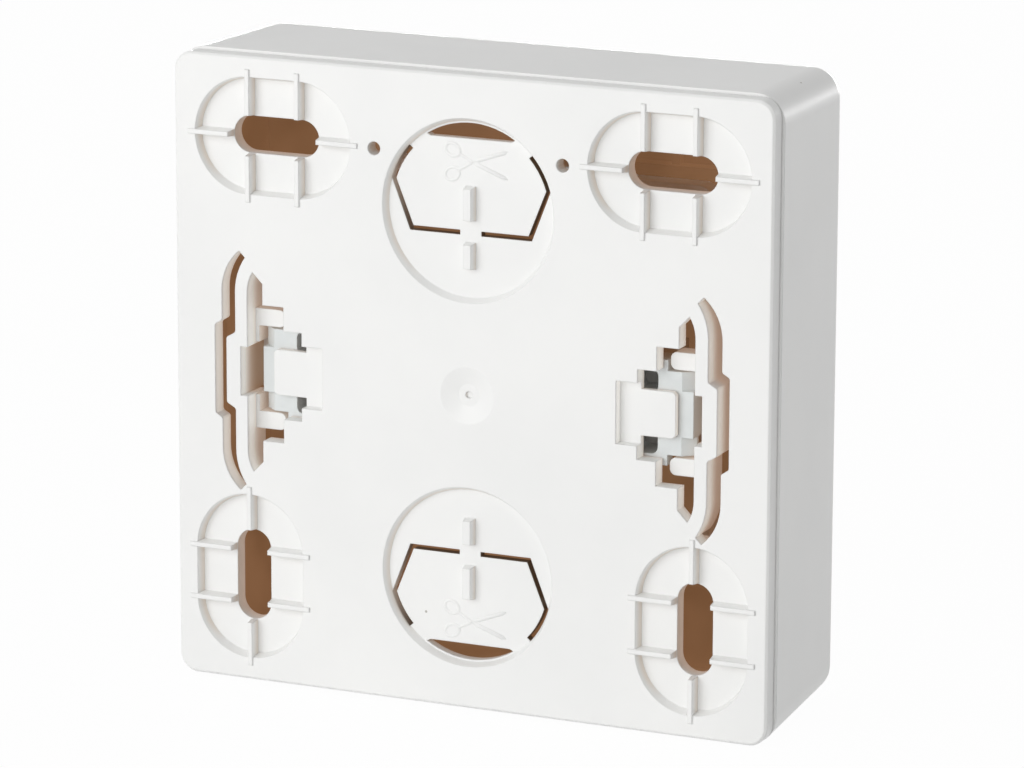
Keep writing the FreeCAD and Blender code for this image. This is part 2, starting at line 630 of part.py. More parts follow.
def dust_flap(side, name):
    body = new_body(f"dust_flap_{name}")
    middle = side + port_middle
    panel = new_sketch(body, f"flap_section_{name}", middle, role="YZ_Plane")
    behind, ahead = f"-({flap_axis_depth}) + flap_thick / 2", f"-({flap_axis_depth}) - flap_thick / 2"
    outline(panel, [
        (ahead, flap_low), (behind, flap_low), (behind, flap_axis_up, "flap_thick / 2", "left"),
        (ahead, flap_axis_up),
    ])
    pad(body, panel, f"flap_panel_{name}", "flap_wide", both=True)
    pin = new_sketch(body, f"flap_pin_{name}", middle, role="YZ_Plane")
    circle(pin, f"-({flap_axis_depth})", flap_axis_up, "pin_radius")
    pad(body, pin, f"flap_pins_{name}", "flap_wide + 2 * pin_length", both=True)
    grip = new_sketch(body, f"flap_grip_{name}", "centre_front - flap_sink - nail_deep / 2")
    rectangle(grip, f"{middle} - nail_wide / 2 + flap_gap", f"{flap_low} + flap_thick",
              f"{middle} + nail_wide / 2 - flap_gap", f"{flap_low} - nail_tall / 2")
    pad(body, grip, f"flap_lip_{name}", "nail_deep / 2")
    return body


arm_back = "rib_proud + plate_thick + arm_clear"
boss_end = "centre_front - centre_wall - boss_gap"


def carrier():
    body = new_body("carrier")
    wide, tall = "carrier_half_wide", "carrier_half_tall"
    frame = new_sketch(body, "carrier_outline", arm_back)
    rounded(frame, f"-{wide}", f"-{tall}", wide, tall, "carrier_corner")
    pad(body, frame, "carrier_plate", "carrier_thick")
    walls = new_sketch(body, "carrier_rim_outline", f"{arm_back} + carrier_thick")
    rounded(walls, f"-{wide}", f"-{tall}", wide, tall, "carrier_corner")
    rectangle(walls, f"-{wide} + carrier_wall", f"-{tall} + carrier_wall",
              f"{wide} - carrier_wall", f"{tall} - carrier_wall")
    pad(body, walls, "carrier_rim_wall", "carrier_rim")
    carrier_arms(body)

    posts = new_sketch(body, "post_outlines", f"{arm_back} + carrier_thick / 2")
    for side in ("", "-"):
        for level in ("", "-"):
            square(posts, f"{side}post_across", f"{level}post_up", "post_half")
    pad(body, posts, "posts", f"board_depth - ({arm_back}) - carrier_thick / 2")
    pilots = new_sketch(body, "post_bores", "board_depth")
    for side in ("", "-"):
        circle(pilots, f"{side}post_across", "-post_up", "small_screw_radius + thread_play")
    cut(body, pilots, "post_bore_cuts", "small_screw_length", to_wall=True)
    boss = new_sketch(body, "boss_circle", f"{arm_back} + carrier_thick / 2")
    circle(boss, "0", "tie_height", "boss_radius")
    pad(body, boss, "boss", f"{boss_end} - ({arm_back}) - carrier_thick / 2")
    bore = new_sketch(body, "boss_bore_circle", boss_end)
    circle(bore, "0", "tie_height", "screw_radius + thread_play")
    cut(body, bore, "boss_bore", "screw_length", to_wall=True)
    return body


def carrier_arms(body):
    arm = new_sketch(body, "arm_outline", arm_back)
    half = [
        ("carrier_half_wide - run_past", "strip_half"), ("column_start", "strip_half"),
        ("column_start", "column_half"), ("column_end", "column_half"), ("column_end", "arm_half"),
        ("arm_end", "arm_half"),
    ]
    outline(arm, [(across, f"-{up}") for across, up in half] + half[::-1])
    made = [pad(body, arm, "arm", "carrier_thick")]
    lip = new_sketch(body, "lip_outline", arm_back)
    rectangle(lip, "lip_start", "-block_half", "arm_end", "block_half")
    made.append(pad(body, lip, "lip", f"lip_end - ({arm_back})"))
    root = new_sketch(body, "arm_root_outline", f"{arm_back} + carrier_thick / 2")
    rectangle(root, "carrier_half_wide - carrier_wall / 2", "-strip_half", "column_start", "strip_half")
    made.append(pad(body, root, "arm_root", "carrier_thick / 2 + carrier_rim"))
    eyes = new_sketch(body, "eye_outlines", arm_back)
    for low, high in (("eye_low", "eye_high"), ("-eye_high", "-eye_low")):
        rounded(eyes, "eye_start", low, "eye_end", high, "eye_round")
    made.append(cut(body, eyes, "eyes", "eye_deep"))
    # the arm's end slopes away from the wall on both sides of its middle block
    reach = "arm_half + run_past - block_half"
    for sign, name in (("", "high"), ("-", "low")):
        wedge = new_sketch(body, f"slope_{name}", f"{sign}(block_half + ({reach}) / 2)", role="XY_Plane")
        outline(wedge, [
            ("arm_slope", f"-({arm_back})"), ("arm_end", f"-({arm_back}) - arm_chamfer"),
            ("arm_end", f"-({arm_back})"),
        ])
        made.append(cut(body, wedge, f"slope_cut_{name}", reach, both=True))
    mirror(body, "arms_mirrored", made, "YZ_Plane")


def circuit_board():
    body = new_body("circuit_board")
    board = new_sketch(body, "board_outline", "board_depth")
    rectangle(board, "-board_half_wide", "-board_half_tall", "board_half_wide", "board_half_tall")
    square(board, "0", "tie_height", "boss_radius + board_gap")
    for side in ("", "-"):
        circle(board, f"{side}post_across", "-post_up", "small_screw_radius + thread_play + board_gap / 2")
    pad(body, board, "board", "board_thick")
    return body


jack_seat = "board_depth + board_thick"
jack_front = "centre_front - centre_wall - jack_clear"


def jack_housing(side, name):
    body = new_body(f"jack_housing_{name}")
    middle = side + port_middle
    block = new_sketch(body, f"jack_outline_{name}", jack_seat)
    rectangle(block, f"{middle} - jack_wide / 2", "port_height - jack_tall / 2",
              f"{middle} + jack_wide / 2", "port_height + jack_tall / 2")
    pad(body, block, f"jack_block_{name}", f"{jack_front} - ({jack_seat})")
    mouth = new_sketch(body, f"jack_cavity_{name}", f"{jack_seat} + jack_floor")
    low, high = "port_height + cavity_up - cavity_tall / 2", "port_height + cavity_up + cavity_tall / 2"
    outline(mouth, [
        (f"{middle} - cavity_wide / 2", low), (f"{middle} - key_wide / 2", low),
        (f"{middle} - key_wide / 2", f"{low} - key_tall"), (f"{middle} + key_wide / 2", f"{low} - key_tall"),
        (f"{middle} + key_wide / 2", low), (f"{middle} + cavity_wide / 2", low),
        (f"{middle} + cavity_wide / 2", high), (f"{middle} - cavity_wide / 2", high),
    ])
    cut(body, mouth, f"jack_mouth_{name}")
    return body


def jack_shield(side, name):
    # a folded sheet over the top and sides of the housing
    body = new_body(f"jack_shield_{name}")
    wrap = new_sketch(body, f"shield_outline_{name}", f"{jack_seat} + shield_back")
    left, right = f"{side}{port_middle} - jack_wide / 2", f"{side}{port_middle} + jack_wide / 2"
    low, high = "port_height - jack_tall / 2", "port_height + jack_tall / 2"
    outline(wrap, [
        (f"{left} - shield_thick", low), (left, low), (left, high), (right, high), (right, low),
        (f"{right} + shield_thick", low), (f"{right} + shield_thick", f"{high} + shield_thick"),
        (f"{left} - shield_thick", f"{high} + shield_thick"),
    ])
    pad(body, wrap, f"shield_{name}", f"{jack_front} - ({jack_seat}) - shield_back")
    return body


def part_feature(label, shape, across):
    made = doc.addObject("Part::Feature", label)
    made.Label = label
    made.Shape = shape
    made.Placement = FreeCAD.Placement(FreeCAD.Vector(value(across), 0, 0), FreeCAD.Rotation())
    return made


def jack_contacts(side, name):
    # a row of bent wires that spring down from the roof of the jack's cavity
    thick = value("wire_thick")
    back, front = -value(f"{jack_seat} + jack_floor"), -value(jack_front)
    roof = value("port_height + cavity_up + cavity_tall / 2")
    low = roof - value("wire_drop")
    bend, heel = front + value("wire_bend"), back - value("wire_heel")
    corners = [
        (back, roof), (front + value("wire_lead"), roof), (bend, low), (bend + thick, low - thick),
        (heel, low - thick + value("wire_rise")), (back, roof - thick),
    ]
    points = [FreeCAD.Vector(0, depth, up) for depth, up in corners]
    face = Part.Face(Part.makePolygon(points + points[:1]))
    count, pitch = int(value("wire_count")), value("wire_pitch")
    wires = []
    for index in range(count):
        across = (index - (count - 1) / 2) * pitch - thick / 2
        wires.append(face.translated(FreeCAD.Vector(across, 0, 0)).extrude(FreeCAD.Vector(thick, 0, 0)))
    return part_feature(f"jack_contacts_{name}", Part.makeCompound(wires), side + port_middle)


block_middle = "(boss_radius + board_gap + block_wide / 2 + board_gap)"


def terminal_block(side, name):
    body = new_body(f"terminal_block_{name}")
    middle = side + block_middle
    low, high = "block_lift - block_tall / 2", "block_lift + block_tall / 2"
    block = new_sketch(body, f"block_outline_{name}", jack_seat)
    rectangle(block, f"{middle} - block_wide / 2", low, f"{middle} + block_wide / 2", high)
    pad(body, block, f"block_{name}", "block_deep")
    slots = new_sketch(body, f"block_slots_{name}", f"{jack_seat} + block_deep - blade_slot_depth")
    for index in range(int(value("blade_count"))):
        across = f"{middle} + ({index} - (blade_count - 1) / 2) * blade_pitch"
        rectangle(slots, f"{across} - blade_slot / 2", f"{low} - run_past",
                  f"{across} + blade_slot / 2", f"{high} + run_past")
    cut(body, slots, f"block_slot_cuts_{name}")
    return body


def terminal_contacts(side, name):
    # forked blades that stand in the slots of a terminal block
    low = value(f"{jack_seat} + block_deep - blade_slot_depth")
    high = value(f"{jack_seat} + block_deep - blade_short")
    tall, thick = value("blade_tall"), value("blade_thick")
    fork, deep = value("blade_fork"), value("blade_fork_depth")
    blade = Part.makeBox(thick, high - low, tall, FreeCAD.Vector(-thick / 2, -high, -tall / 2))
    notch = Part.makeBox(2 * thick, deep, fork, FreeCAD.Vector(-thick, -high, -fork / 2))
    blade = blade.cut(notch)
    count, pitch = int(value("blade_count")), value("blade_pitch")
    blades = []
    for index in range(count):
        across = (index - (count - 1) / 2) * pitch
        blades.append(blade.translated(FreeCAD.Vector(across, 0, value("block_lift"))))
    return part_feature(f"terminal_contacts_{name}", Part.makeCompound(blades), side + block_middle)


# the saddle stands beside the recess of the top left screw slot
saddle_across = "(recess_length / 2 + pan_wall + saddle_gap + saddle_wide / 2 - slot_reach)"


def cable_saddle():
    # a bridge that a cable tie goes through, pegged to the inside of the plate
    body = new_body("cable_saddle")
    foot = "rib_proud + plate_thick"
    block = new_sketch(body, "saddle_outline", foot)
    left, right = f"{saddle_across} - saddle_wide / 2", f"{saddle_across} + saddle_wide / 2"
    rectangle(block, left, "saddle_up - saddle_tall / 2", right, "saddle_up + saddle_tall / 2")
    pad(body, block, "saddle_block", "saddle_high")
    tunnel = new_sketch(body, "saddle_tunnel", "saddle_up", role="XY_Plane")
    rectangle(tunnel, f"{left} + saddle_wall", f"-({foot}) - saddle_high + saddle_wall",
              f"{right} - saddle_wall", f"-({foot}) - saddle_wall")
    cut(body, tunnel, "saddle_way", "saddle_tall + run_past", both=True)
    pegs = new_sketch(body, "saddle_pegs", foot)
    for sign in ("+", "-"):
        square(pegs, f"{saddle_across} {sign} peg_spread", "saddle_up - peg_spread", "peg_half")
    pad(body, pegs, "pegs", "peg_length", to_wall=True)
    return body


def centre_screw():
    body = new_body("centre_screw")
    section = new_sketch(body, "centre_screw_section", role="XY_Plane", depth="tie_height")
    front = "-centre_front"
    tip = f"screw_length - bore_past - ({boss_end})"
    outline(section, [
        ("0", f"{front} + flap_sink"), ("head_radius - thread_play", f"{front} + flap_sink"),
        ("head_radius - thread_play", f"{front} + head_land"),
        ("screw_radius", f"{front} + head_land + head_cone"), ("screw_radius", tip), ("0", tip),
    ])
    turned(body, "Revolution", "centre_screw_turned", section)
    drive = new_sketch(body, "drive_outline", "centre_front")
    rectangle(drive, "-head_radius", "tie_height - drive_wide / 2",
              "head_radius", "tie_height + drive_wide / 2")
    cut(body, drive, "drive_slot", "drive_deep", to_wall=True)
    return body


def many_sided(radius, spot, reach):
    # upright prism in place of a small cylinder
    sides = int(value("small_screw_sides"))
    corners = []
    for index in range(sides):
        turn = FreeCAD.Rotation(FreeCAD.Vector(0, 1, 0), 360 * index / sides)
        corners.append(spot + turn.multVec(FreeCAD.Vector(radius, 0, 0)))
    return Part.Face(Part.makePolygon(corners + corners[:1])).extrude(reach)


def board_screws():
    # two screws at the board's lower corners, one node
    seat = -value("board_depth + board_thick")
    radius, high = value("small_head_radius"), value("small_head_high")
    reach, shank_radius = value("small_screw_length"), value("small_screw_radius")
    long, wide, deep = (value(f"small_drive_{size}") for size in ("long", "wide", "deep"))
    axis = FreeCAD.Vector(0, -1, 0)
    screws = []
    for side in (1, -1):
        spot = FreeCAD.Vector(side * value("post_across"), seat, -value("post_up"))
        head = many_sided(radius, spot, axis * high)
        shank = many_sided(shank_radius, spot, -axis * reach)
        slot = Part.makeBox(long, deep, wide, spot + FreeCAD.Vector(-long / 2, -high, -wide / 2))
        screws.append(head.fuse(shank).cut(slot).removeSplitter())
    return part_feature("board_screws", Part.makeCompound(screws), "0")


sub_parts = [base_plate(), hood(), centre_plate(), carrier(), circuit_board(), cable_saddle(), centre_screw()]
for side, name in (("", "right"), ("-", "left")):
    for make in (dust_flap, jack_housing, jack_shield, terminal_block):
        sub_parts.append(make(side, name))
for body in sub_parts:
    body.Tip.Refine = True
sub_parts.append(board_screws())
for side, name in (("", "right"), ("-", "left")):
    sub_parts += [jack_contacts(side, name), terminal_contacts(side, name)]
doc.recompute()

failed = [item.Label for item in doc.Objects if "Invalid" in item.State or "Error" in item.State]
failed += [item.Label for item in sub_parts if item.Shape.isNull() or not item.Shape.isValid()]
if failed:
    raise RuntimeError(f"These did not compute: {failed}")
os.makedirs("parts", exist_ok=True)
for item in sub_parts:
    item.Shape.exportStep(f"parts/{item.Label}.step")
    box = item.Shape.BoundBox
    print(item.Label, len(item.Shape.Solids), round(item.Shape.Volume, 1),
          [round(edge, 2) for edge in (box.XMin, box.XMax, box.YMin, box.YMax, box.ZMin, box.ZMax)])
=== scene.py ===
import bpy
from math import cos, pi, sin
from mathutils import Matrix, Vector


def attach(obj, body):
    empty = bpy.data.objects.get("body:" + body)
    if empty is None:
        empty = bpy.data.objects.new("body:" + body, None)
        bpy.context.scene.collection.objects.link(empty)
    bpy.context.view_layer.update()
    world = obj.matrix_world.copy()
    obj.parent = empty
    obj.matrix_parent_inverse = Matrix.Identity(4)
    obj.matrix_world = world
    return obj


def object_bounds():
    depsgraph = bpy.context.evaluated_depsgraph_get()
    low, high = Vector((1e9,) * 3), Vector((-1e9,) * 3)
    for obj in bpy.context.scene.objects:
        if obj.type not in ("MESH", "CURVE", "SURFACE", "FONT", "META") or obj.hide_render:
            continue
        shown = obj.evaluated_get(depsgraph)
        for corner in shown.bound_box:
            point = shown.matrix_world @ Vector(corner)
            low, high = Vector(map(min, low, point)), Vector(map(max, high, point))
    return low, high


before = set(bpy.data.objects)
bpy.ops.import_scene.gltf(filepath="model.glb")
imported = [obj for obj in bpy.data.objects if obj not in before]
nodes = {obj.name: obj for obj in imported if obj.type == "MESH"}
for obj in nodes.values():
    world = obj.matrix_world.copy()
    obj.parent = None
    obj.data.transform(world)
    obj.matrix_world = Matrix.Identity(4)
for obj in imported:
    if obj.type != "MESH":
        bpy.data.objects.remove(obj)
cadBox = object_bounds()
print("frame loaded")

mm = 0.001
black = (0, 0, 0, 1)
pureWhite = (1, 1, 1, 1)


# camera, fitted to the photo; lengths in mm in the part's own frame
viewSettings = {
    "eye": (-277.7, 609.8, 164.9),
    "right": (-0.91314, -0.40765, 0.0036),
    "up": (0.0997, -0.21484, 0.97155),
    "lens": 197.69,
    "sensor": 36.0,
    "clipStart": 0.01,
}

right = Vector(viewSettings["right"]).normalized()
up = Vector(viewSettings["up"]).normalized()
back = right.cross(up).normalized()
up = back.cross(right)
cameraData = bpy.data.cameras.new("camera")
cameraData.lens = viewSettings["lens"]
cameraData.sensor_width = viewSettings["sensor"]
cameraData.clip_start = viewSettings["clipStart"]
camera = bpy.data.objects.new("camera", cameraData)
bpy.context.collection.objects.link(camera)
turn = Matrix((right, up, back)).transposed().to_4x4()
camera.matrix_world = Matrix.Translation(Vector(viewSettings["eye"]) * mm) @ turn
bpy.context.scene.camera = camera
bpy.context.scene.view_settings.view_transform = "Standard"
print("camera set")


class Wire:
    # wraps a shader socket, so that node maths reads as plain Python
    def __init__(self, tree, socket=None):
        self.tree = tree
        self.socket = socket

    def node(self, kind, settings=None, inputs=None, output=0):
        made = self.tree.nodes.new(kind)
        for name, setting in (settings or {}).items():
            setattr(made, name, setting)
        for name, given in (inputs or {}).items():
            if isinstance(given, Wire):
                self.tree.links.new(given.socket, made.inputs[name])
            else:
                made.inputs[name].default_value = given
        return Wire(self.tree, made.outputs[output] if made.outputs else None)

    def calc(self, operation, *values):
        return self.node("ShaderNodeMath", {"operation": operation}, dict(enumerate(values)))

    def parts(self):
        # the three numbers of a vector
        split = self.node("ShaderNodeSeparateXYZ", inputs={0: self}).socket.node
        return [Wire(self.tree, socket) for socket in split.outputs]

    def __add__(self, other):
        return self.calc("ADD", self, other)

    def __radd__(self, other):
        return self.calc("ADD", other, self)

    def __sub__(self, other):
        return self.calc("SUBTRACT", self, other)

    def __rsub__(self, other):
        return self.calc("SUBTRACT", other, self)

    def __mul__(self, other):
        return self.calc("MULTIPLY", self, other)

    def __rmul__(self, other):
        return self.calc("MULTIPLY", other, self)

    def __abs__(self):
        return self.calc("ABSOLUTE", self)

    def above(self, limit):
        return self.calc("GREATER_THAN", self, limit)

    def below(self, limit):
        return self.calc("LESS_THAN", self, limit)

    def between(self, low, high):
        return self.above(low) * self.below(high)

    def orMore(self, other):
        # the larger of the two
        return self.calc("MAXIMUM", self, other)

    def ramp(self, low, high):
        # 0 at low, 1 at high, smooth between; low may be the larger one
        return self.node("ShaderNodeMapRange", {"interpolation_type": "SMOOTHSTEP"},
                         {"Value": self, "From Min": low, "From Max": high})

    def mixed(self, first, second):
        # colours first and second, blended by this value
        return self.node("ShaderNodeMix", {"data_type": "RGBA"}, {0: self, 6: first, 7: second}, 2)


def newMaterial(name):
    made = bpy.data.materials.new(name)
    made.use_nodes = True
    tree = made.node_tree
    tree.nodes.clear()
    return made, Wire(tree)


def place(flow):
    # object position in mm, as a vector and as x, depth from the wall, and height
    spot = flow.node("ShaderNodeTexCoord", output=3)
    scaled = flow.node("ShaderNodeVectorMath", {"operation": "SCALE"}, {0: spot, "Scale": 1 / mm})
    across, along, high = scaled.parts()
    return scaled, across, along * -1.0, high


def noise(spot, scale, detail=2.0, rough=0.5):
    return spot.node("ShaderNodeTexNoise", inputs={
        "Vector": spot, "Scale": scale, "Detail": detail, "Roughness": rough})


def wavering(pattern, look):
    # roughness that follows a pattern around its middle value
    return pattern * look["spread"] + (look["roughness"] - look["spread"] / 2)


def bumped(flow, height, look, edges=None):
    inputs = {"Strength": look["bumpStrength"], "Distance": look["bumpHeight"] * mm, "Height": height}
    if edges:
        inputs["Normal"] = edges
    return flow.node("ShaderNodeBump", inputs=inputs)


def softEdges(flow, look):
    # a small round on every edge, in shading only; the radius is in mm
    return flow.node("ShaderNodeBevel", {"samples": look["edgeSamples"]}, {"Radius": look["edge"] * mm})


def finishSurface(flow, colour, roughness, bumps, metal=0.0, extra=None):
    inputs = {"Base Color": colour, "Roughness": roughness, "Metallic": metal, "Normal": bumps}
    surface = flow.node("ShaderNodeBsdfPrincipled", inputs={**inputs, **(extra or {})})
    flow.node("ShaderNodeOutputMaterial", inputs={"Surface": surface})


# the white moulding: satin grain, faint clouds and a few specks
whiteSettings = {
    "colour": (0.89, 0.89, 0.878, 1),
    "cloud": (0.862, 0.864, 0.854, 1),
    "cloudScale": 0.045,
    "cloudDetail": 3.0,
    "cloudSpan": (0.35, 0.7),
    "speck": (0.32, 0.28, 0.24, 1),
    "speckScale": 0.16,
    "speckSize": 0.028,
    "speckShare": 0.9,
    "speckStrength": 0.7,
    "glowScale": 0.09,
    "glowSpan": (0.3, 0.7),
    "roughness": 0.42,
    "roughScale": 0.4,
    "spread": 0.1,
    "grainScale": 5.0,
    "grainDetail": 3.0,
    "grainRough": 0.6,
    "bumpStrength": 0.35,
    "bumpHeight": 0.004,
    "edge": 0.22,
    "edgeSamples": 6,
}

# painted light and shade on the white moulding, where light reaches it only through the plastic: each tone
# is a colour that stands in for shade and a weak painted glow that stands in for light through the walls,
# which wanders between glow and cloud
paintedLightTones = {
    # painted shade: a darker warm colour on hollow walls turned away from the lamp
    "shade": {"colour": (0.82, 0.745, 0.665, 1), "glow": black, "cloud": black},
    # painted light: a glow that brightens the upper window walls turned away from the lamp
    "paintedWarmGlow": {
        "colour": (0.89, 0.88, 0.86, 1),
        "glow": (0.19, 0.183, 0.163, 1),
        "cloud": (0.19, 0.183, 0.163, 1),
    },
    # painted light: a tan colour and glow on the deep walls
    "tan": {
        "colour": (0.72, 0.63, 0.56, 1),
        "glow": (0.155, 0.125, 0.102, 1),
        "cloud": (0.155, 0.125, 0.102, 1),
    },
    # painted light: a brown colour and glow inside the housing, in place of light through the plastic
    "paintedBrownGlow": {
        "colour": (0.30, 0.20, 0.12, 1),
        "glow": (0.150, 0.080, 0.041, 1),
        "cloud": (0.105, 0.055, 0.027, 1),
    },
    # painted shade: a dark colour with a faint glow on the walls of the knock-outs' slits
    "dark": {
        "colour": (0.10, 0.072, 0.05, 1),
        "glow": (0.022, 0.013, 0.007, 1),
        "cloud": (0.018, 0.010, 0.005, 1),
    },
}


def whiteMoulding(name, tonesOf):
    # tonesOf is a function that gives the names of the painted shade and glow tones with the share of each
    look = whiteSettings
    made, flow = newMaterial(name)
    spot, across, depth, high = place(flow)
    cloud = noise(spot, look["cloudScale"], look["cloudDetail"]).ramp(*look["cloudSpan"])
    colour = cloud.mixed(look["colour"], look["cloud"])
    scattered = {"Vector": spot, "Scale": look["speckScale"]}
    cells = flow.node("ShaderNodeTexVoronoi", inputs=scattered)
    pick = flow.node("ShaderNodeTexVoronoi", inputs=scattered, output=1)
    chosen = flow.node("ShaderNodeSeparateColor", inputs={0: pick}).above(look["speckShare"])
    specks = cells.below(look["speckSize"]) * chosen
    colour = (specks * look["speckStrength"]).mixed(colour, look["speck"])
    normal = flow.node("ShaderNodeNewGeometry", output=1)
    paintedGlowDrift = noise(spot, look["glowScale"]).ramp(*look["glowSpan"])
    glow = black
    # painted light and shade: each tone's colour and glow go over the moulding where its share says; the
    # glow goes out as emission
    for name, share in tonesOf(across, depth, high, normal.parts()):
        tone = paintedLightTones[name]
        colour = share.mixed(colour, tone["colour"])
        glow = share.mixed(glow, paintedGlowDrift.mixed(tone["glow"], tone["cloud"]))
    rough = wavering(noise(spot, look["roughScale"]), look)
    grain = noise(spot, look["grainScale"], look["grainDetail"], look["grainRough"])
    bumps = bumped(flow, grain, look, softEdges(flow, look))
    finishSurface(flow, colour, rough, bumps, extra={"Emission Color": glow, "Emission Strength": 1.0})
    return made


def reachOf(across, high):
    # how far a point lies from the middle, measured square
    return abs(across).orMore(abs(high))


# the tear slits of the knock-outs, in mm: painted shade darkens their walls below the floor, inside the
# slits' circle, except on the side that the light reaches
slitSettings = {"middle": 23.15, "radius": 11.45, "floor": 1.23, "top": 30.9, "lit": (11.2, 7.0)}


def slitWalls(across, depth, high, wall):
    look = slitSettings
    rise = abs(high) - look["middle"]
    square = across * across + rise * rise
    inside = square.below(look["radius"] ** 2) * abs(high).below(look["top"])
    return wall * inside * depth.above(look["floor"]) * across.ramp(*look["lit"])


# where the base plate takes each painted shade and glow tone, lengths in mm; a span says where a share is 0
# and where it is 1
plateSettings = {
    # the share of a face's direction along the depth: 1 on flat faces, 0 on walls
    "wallSpan": (0.9, 0.5),
    # the way that walls look when no light reaches them
    "awayAcross": -1.0,
    "awayHigh": -0.6,
    "awaySpan": (0.0, 0.6),
    # the hollows lie nearer the upright middle line than knockOuts, or past recesses up or down
    "knockOuts": 13.0,
    "recesses": 15.6,
    "rim": 38.4,
    "footSpan": (0.2, 1.4),
    "upperSpan": (0.1, 0.9),
    "deepSpan": (1.2, 3.6),
    # the plate's inner side, and the skirt around it, which take a painted brown glow
    "inside": 38.0,
    "innerFace": -0.5,
    "innerDepth": 2.3,
    "skirt": 35.5,
    "skirtDepth": 2.5,
    # the walls behind the sprung bows, which take a painted brown glow
    "bowWall": (30.8, 31.5),
    "bowHalf": 3.3,
    "bowSpan": (0.8, 5.0),
    "bowShare": 0.8,
}


def plateTones(across, depth, high, normal):
    look = plateSettings
    reach = reachOf(across, high)
    aside, face, rise = normal
    wall = abs(face).ramp(*look["wallSpan"])
    away = (aside * look["awayAcross"] + rise * look["awayHigh"]).ramp(*look["awaySpan"])
    hollows = abs(across).below(look["knockOuts"]).orMore(abs(high).above(look["recesses"]))
    body = wall * reach.below(look["rim"])
    foot = body * away * hollows * depth.ramp(*look["footSpan"])
    upper = body * away * (1.0 - hollows) * depth.ramp(*look["upperSpan"])
    deep = body * depth.ramp(*look["deepSpan"])
    inner = face.below(look["innerFace"]) * depth.above(look["innerDepth"]) * reach.below(look["inside"])
    skirt = reach.between(look["skirt"], look["inside"]) * depth.above(look["skirtDepth"])
    bow = abs(across).between(*look["bowWall"]) * abs(high).below(look["bowHalf"])
    behind = wall * bow * depth.ramp(*look["bowSpan"]) * look["bowShare"]
    # painted shade at the foot of hollow walls turned from the lamp, painted glow on the upper and deep
    # walls, inside and behind the bows, and painted shade in the slits
    return (("shade", foot), ("paintedWarmGlow", upper), ("tan", deep), ("paintedBrownGlow", inner.orMore(skirt).orMore(behind)),
            ("dark", slitWalls(across, depth, high, wall)))


# the insides of the hood and the centre plate, in mm, which take a painted brown glow in place of light
# through the plastic
insideSettings = {"hoodReach": 38.6, "hoodDepth": (2.4, 22.6), "centreReach": 23.5, "centreDepth": 22.4}


def hoodTones(across, depth, high, normal):
    look = insideSettings
    return (("paintedBrownGlow", reachOf(across, high).below(look["hoodReach"]) * depth.between(*look["hoodDepth"])),)


def centreTones(across, depth, high, normal):
    look = insideSettings
    return (("paintedBrownGlow", reachOf(across, high).below(look["centreReach"]) * depth.below(look["centreDepth"])),)


def noTones(across, depth, high, normal):
    return ()


# plain moulded plastics: a grained surface in one tone with slight clouding
plasticSettings = {
    "greyMoulding": {"colour": (0.74, 0.77, 0.77, 1), "cloud": (0.69, 0.72, 0.72, 1), "roughness": 0.38},
    "darkMoulding": {"colour": (0.018, 0.018, 0.02, 1), "cloud": (0.03, 0.03, 0.032, 1), "roughness": 0.5},
    "blockMoulding": {"colour": (0.74, 0.73, 0.69, 1), "cloud": (0.68, 0.67, 0.63, 1), "roughness": 0.4},
    "grain": {
        "cloudScale": 0.3,
        "detail": 3.0,
        "cloudSpan": (0.3, 0.7),
        "roughScale": 1.2,
        "spread": 0.12,
        "grainScale": 6.0,
        "bumpStrength": 0.4,
        "bumpHeight": 0.005,
        "edge": 0.15,
        "edgeSamples": 6,
    },
}


def plainMoulding(name):
    look = {**plasticSettings["grain"], **plasticSettings[name]}
    made, flow = newMaterial(name)
    spot, across, depth, high = place(flow)
    cloud = noise(spot, look["cloudScale"], look["detail"]).ramp(*look["cloudSpan"])
    colour = cloud.mixed(look["colour"], look["cloud"])
    rough = wavering(noise(spot, look["roughScale"]), look)
    grain = noise(spot, look["grainScale"], look["detail"])
    finishSurface(flow, colour, rough, bumped(flow, grain, look, softEdges(flow, look)))
    return made


# metals: brushed or drawn grain along one axis, which has the smallest number in stretch
metalSettings = {
    "shieldSheet": {
        "colour": (0.70, 0.69, 0.66, 1), "dull": (0.58, 0.57, 0.55, 1), "roughness": 0.33,
        "stretch": (2.0, 0.2, 2.0),
    },
    "contactWire": {
        "colour": (0.86, 0.62, 0.25, 1), "dull": (0.74, 0.52, 0.21, 1), "roughness": 0.2,
        "stretch": (3.0, 0.4, 3.0),
    },
    "bladeMetal": {
        "colour": (0.76, 0.74, 0.70, 1), "dull": (0.62, 0.60, 0.57, 1), "roughness": 0.28,
        "stretch": (0.5, 3.0, 3.0),
    },
    "screwSteel": {
        "colour": (0.68, 0.69, 0.70, 1), "dull": (0.55, 0.56, 0.56, 1), "roughness": 0.3,
        "stretch": (1.5, 6.0, 1.5),
    },
    "grain": {
        "grainScale": 2.0,
        "grainDetail": 4.0,
        "grainRough": 0.65,
        "dullSpan": (0.3, 0.75),
        "spread": 0.2,
        "bumpStrength": 0.3,
        "bumpHeight": 0.004,
    },
}


def metal(name):
    look = {**metalSettings["grain"], **metalSettings[name]}
    made, flow = newMaterial(name)
    spot, across, depth, high = place(flow)
    drawn = flow.node("ShaderNodeMapping", inputs={"Vector": spot, "Scale": look["stretch"]})
    grain = noise(drawn, look["grainScale"], look["grainDetail"], look["grainRough"])
    colour = grain.ramp(*look["dullSpan"]).mixed(look["colour"], look["dull"])
    finishSurface(flow, colour, wavering(grain, look), bumped(flow, grain, look), 1.0)
    return made


